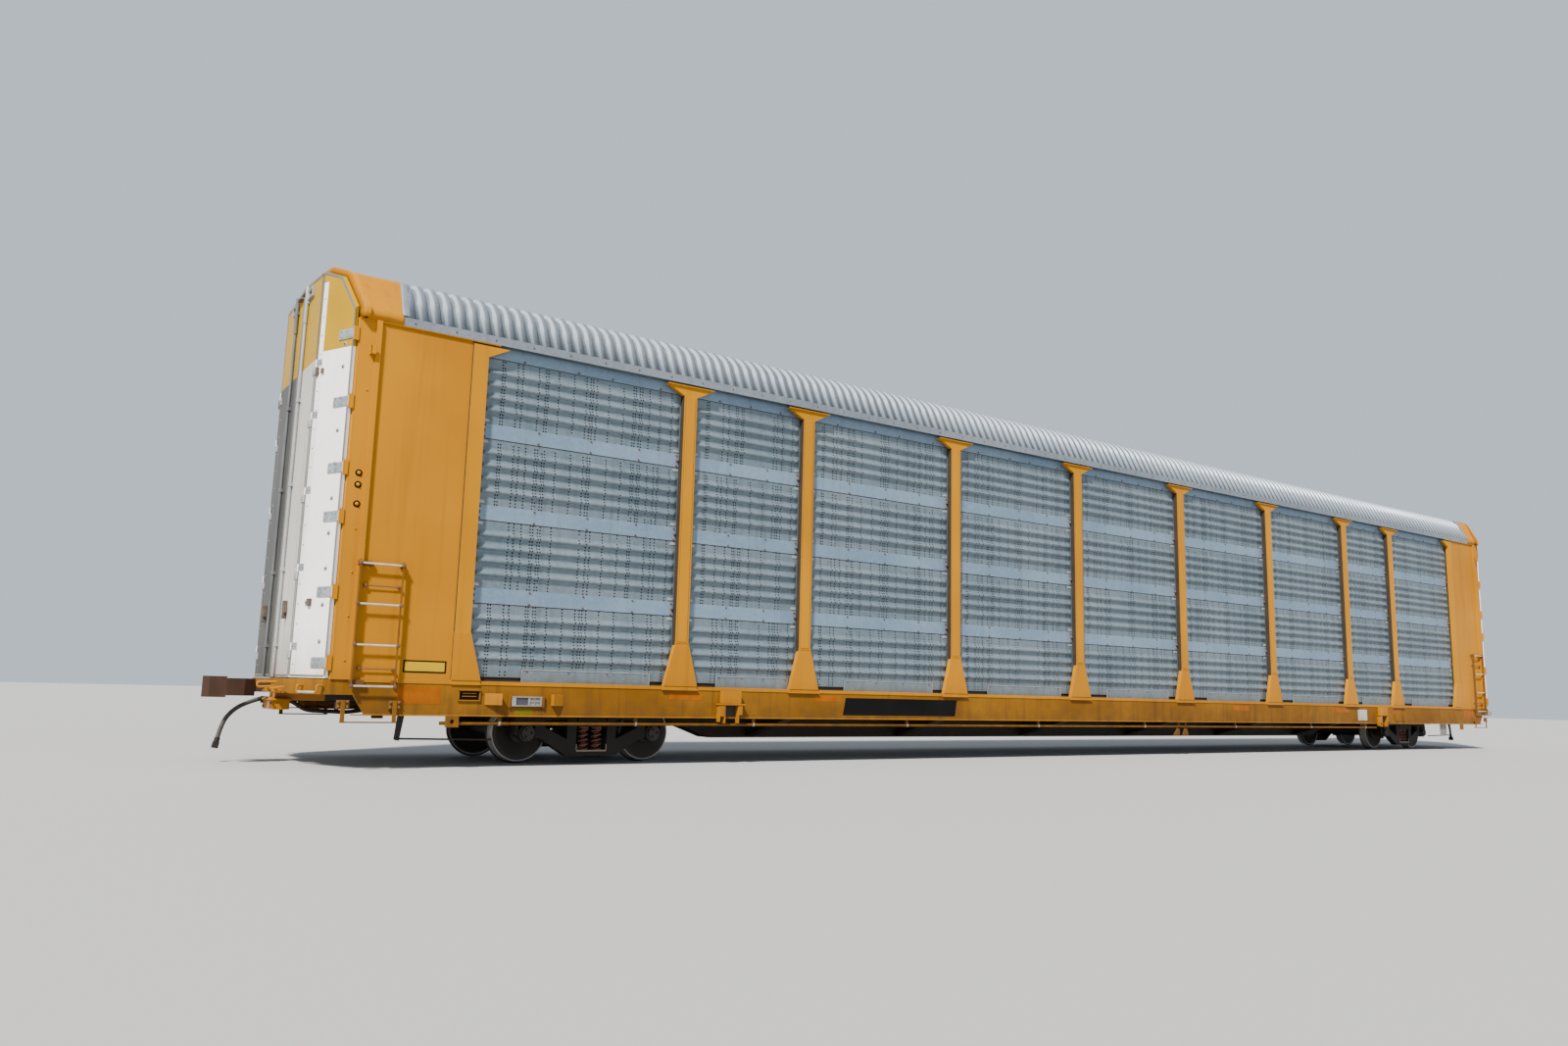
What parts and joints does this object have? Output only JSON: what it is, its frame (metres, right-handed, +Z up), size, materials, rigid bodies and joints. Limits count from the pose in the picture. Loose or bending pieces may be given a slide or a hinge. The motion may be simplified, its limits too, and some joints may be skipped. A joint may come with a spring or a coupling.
{
  "type": "enclosed autorack flatcar",
  "caption": "Long low flatcar with an enclosed two-deck rack, screened sides, corrugated roof, folding end doors, swivelling trucks and turning wheelsets.",
  "frame": {"origin": "middle of the car in plan, at the level of the lowest wheel flange tips", "axes": "+X along the car towards the A end, +Y across the car, +Z up"},
  "size_m": [28.6, 3.129, 5.6701],
  "materials": {
    "yellow_paint": "ochre yellow enamel, sun-faded, dusty, semi-gloss",
    "galvanised": "galvanised sheet steel, dull with light streaks",
    "galvanised_roof": "galvanised roof sheet, dull silver with brown stains",
    "door_paint": "white door paint with a yellow top",
    "frame_black": "black underframe paint under brown road dust",
    "cast_steel": "cast steel under brown-grey road grime",
    "wheel_steel": "wheel steel, brown with a polished tread",
    "spring_steel": "rusty coil springs",
    "coupler_steel": "bare rusty cast steel",
    "deck_steel": "worn grey deck paint",
    "hose_rubber": "black rubber air hose",
    "rod_steel": "galvanised lock rods"
  },
  "bodies": {
    "car_body": {"side_sills": "yellow_paint", "centre_sill": "frame_black", "draft_sills": "frame_black", "cross_bearers": "frame_black", "body_bolsters": "frame_black", "lower_deck": "deck_steel", "end_platforms": "yellow_paint", "posts": "yellow_paint", "side_screens": "galvanised", "kick_plates": "galvanised", "end_panels": "yellow_paint", "corner_posts": "yellow_paint", "eave_rails": "galvanised_roof", "upper_deck": "deck_steel", "deck_ledgers": "galvanised", "roof_pan": "galvanised_roof", "roof_ribs": "galvanised_roof", "roof_end_caps": "yellow_paint", "hinge_lugs": "yellow_paint", "ladders": "yellow_paint", "sill_steps": "yellow_paint", "tow_eyes": "yellow_paint", "jack_pads": "yellow_paint", "side_pipe": "yellow_paint", "brake_gear": "frame_black", "hand_brake": "frame_black", "angle_cocks": "frame_black", "air_hose_b": "hose_rubber", "air_hose_a": "hose_rubber", "glad_hand_b": "cast_steel", "glad_hand_a": "cast_steel"},
    "truck_b": {"side_frames_b": "cast_steel", "bearing_adapters_b": "cast_steel", "truck_bolster_b": "cast_steel", "springs_b": "spring_steel", "brake_beams_b": "cast_steel"},
    "axle_b1": {"wheelset_b1": "wheel_steel"},
    "axle_b2": {"wheelset_b2": "wheel_steel"},
    "coupler_unit_b": {"coupler_b": "coupler_steel"},
    "outer_leaf_b_left": {"door_outer_b_left": "door_paint"},
    "inner_leaf_b_left": {"door_inner_b_left": "door_paint", "lock_rod_b_left": "rod_steel"},
    "outer_leaf_b_right": {"door_outer_b_right": "door_paint"},
    "inner_leaf_b_right": {"door_inner_b_right": "door_paint", "lock_rod_b_right": "rod_steel"},
    "truck_a": {"side_frames_a": "cast_steel", "bearing_adapters_a": "cast_steel", "truck_bolster_a": "cast_steel", "springs_a": "spring_steel", "brake_beams_a": "cast_steel"},
    "axle_a1": {"wheelset_a1": "wheel_steel"},
    "axle_a2": {"wheelset_a2": "wheel_steel"},
    "coupler_unit_a": {"coupler_a": "coupler_steel"},
    "outer_leaf_a_left": {"door_outer_a_left": "door_paint"},
    "inner_leaf_a_left": {"door_inner_a_left": "door_paint", "lock_rod_a_left": "rod_steel"},
    "outer_leaf_a_right": {"door_outer_a_right": "door_paint"},
    "inner_leaf_a_right": {"door_inner_a_right": "door_paint", "lock_rod_a_right": "rod_steel"}
  },
  "joints": [
    {"name": "truck_b_swivel", "type": "hinge", "parent": "car_body", "child": "truck_b", "pos_m": [-10.06, 0, 0.68], "axis": [0, 0, 1], "range_deg": [-8, 8]},
    {"name": "wheelset_b1_spin", "type": "hinge", "parent": "truck_b", "child": "axle_b1", "pos_m": [-10.911, 0, 0.375], "axis": [0, 1, 0], "continuous": true},
    {"name": "wheelset_b2_spin", "type": "hinge", "parent": "truck_b", "child": "axle_b2", "pos_m": [-9.209, 0, 0.375], "axis": [0, 1, 0], "continuous": true},
    {"name": "coupler_b_swing", "type": "hinge", "parent": "car_body", "child": "coupler_unit_b", "pos_m": [-12.9, 0, 0.84], "axis": [0, 0, 1], "range_deg": [-6, 6]},
    {"name": "door_outer_b_left_hinge", "type": "hinge", "parent": "car_body", "child": "outer_leaf_b_left", "pos_m": [-13.346, -1.485, 0.96], "axis": [0, 0, 1], "range_deg": [0, 150]},
    {"name": "door_inner_b_left_fold", "type": "hinge", "parent": "outer_leaf_b_left", "child": "inner_leaf_b_left", "pos_m": [-13.6, -0.924, 0.96], "axis": [0, 0, 1], "range_deg": [0, 120]},
    {"name": "door_outer_b_right_hinge", "type": "hinge", "parent": "car_body", "child": "outer_leaf_b_right", "pos_m": [-13.346, 1.485, 0.96], "axis": [0, 0, -1], "range_deg": [0, 150]},
    {"name": "door_inner_b_right_fold", "type": "hinge", "parent": "outer_leaf_b_right", "child": "inner_leaf_b_right", "pos_m": [-13.6, 0.924, 0.96], "axis": [0, 0, -1], "range_deg": [0, 120]},
    {"name": "truck_a_swivel", "type": "hinge", "parent": "car_body", "child": "truck_a", "pos_m": [10.06, 0, 0.68], "axis": [0, 0, 1], "range_deg": [-8, 8]},
    {"name": "wheelset_a1_spin", "type": "hinge", "parent": "truck_a", "child": "axle_a1", "pos_m": [9.209, 0, 0.375], "axis": [0, 1, 0], "continuous": true},
    {"name": "wheelset_a2_spin", "type": "hinge", "parent": "truck_a", "child": "axle_a2", "pos_m": [10.911, 0, 0.375], "axis": [0, 1, 0], "continuous": true},
    {"name": "coupler_a_swing", "type": "hinge", "parent": "car_body", "child": "coupler_unit_a", "pos_m": [12.9, 0, 0.84], "axis": [0, 0, 1], "range_deg": [-6, 6]},
    {"name": "door_outer_a_left_hinge", "type": "hinge", "parent": "car_body", "child": "outer_leaf_a_left", "pos_m": [13.346, -1.485, 0.96], "axis": [0, 0, -1], "range_deg": [0, 150]},
    {"name": "door_inner_a_left_fold", "type": "hinge", "parent": "outer_leaf_a_left", "child": "inner_leaf_a_left", "pos_m": [13.6, -0.924, 0.96], "axis": [0, 0, -1], "range_deg": [0, 120]},
    {"name": "door_outer_a_right_hinge", "type": "hinge", "parent": "car_body", "child": "outer_leaf_a_right", "pos_m": [13.346, 1.485, 0.96], "axis": [0, 0, 1], "range_deg": [0, 150]},
    {"name": "door_inner_a_right_fold", "type": "hinge", "parent": "outer_leaf_a_right", "child": "inner_leaf_a_right", "pos_m": [13.6, 0.924, 0.96], "axis": [0, 0, 1], "range_deg": [0, 120]}
  ]
}
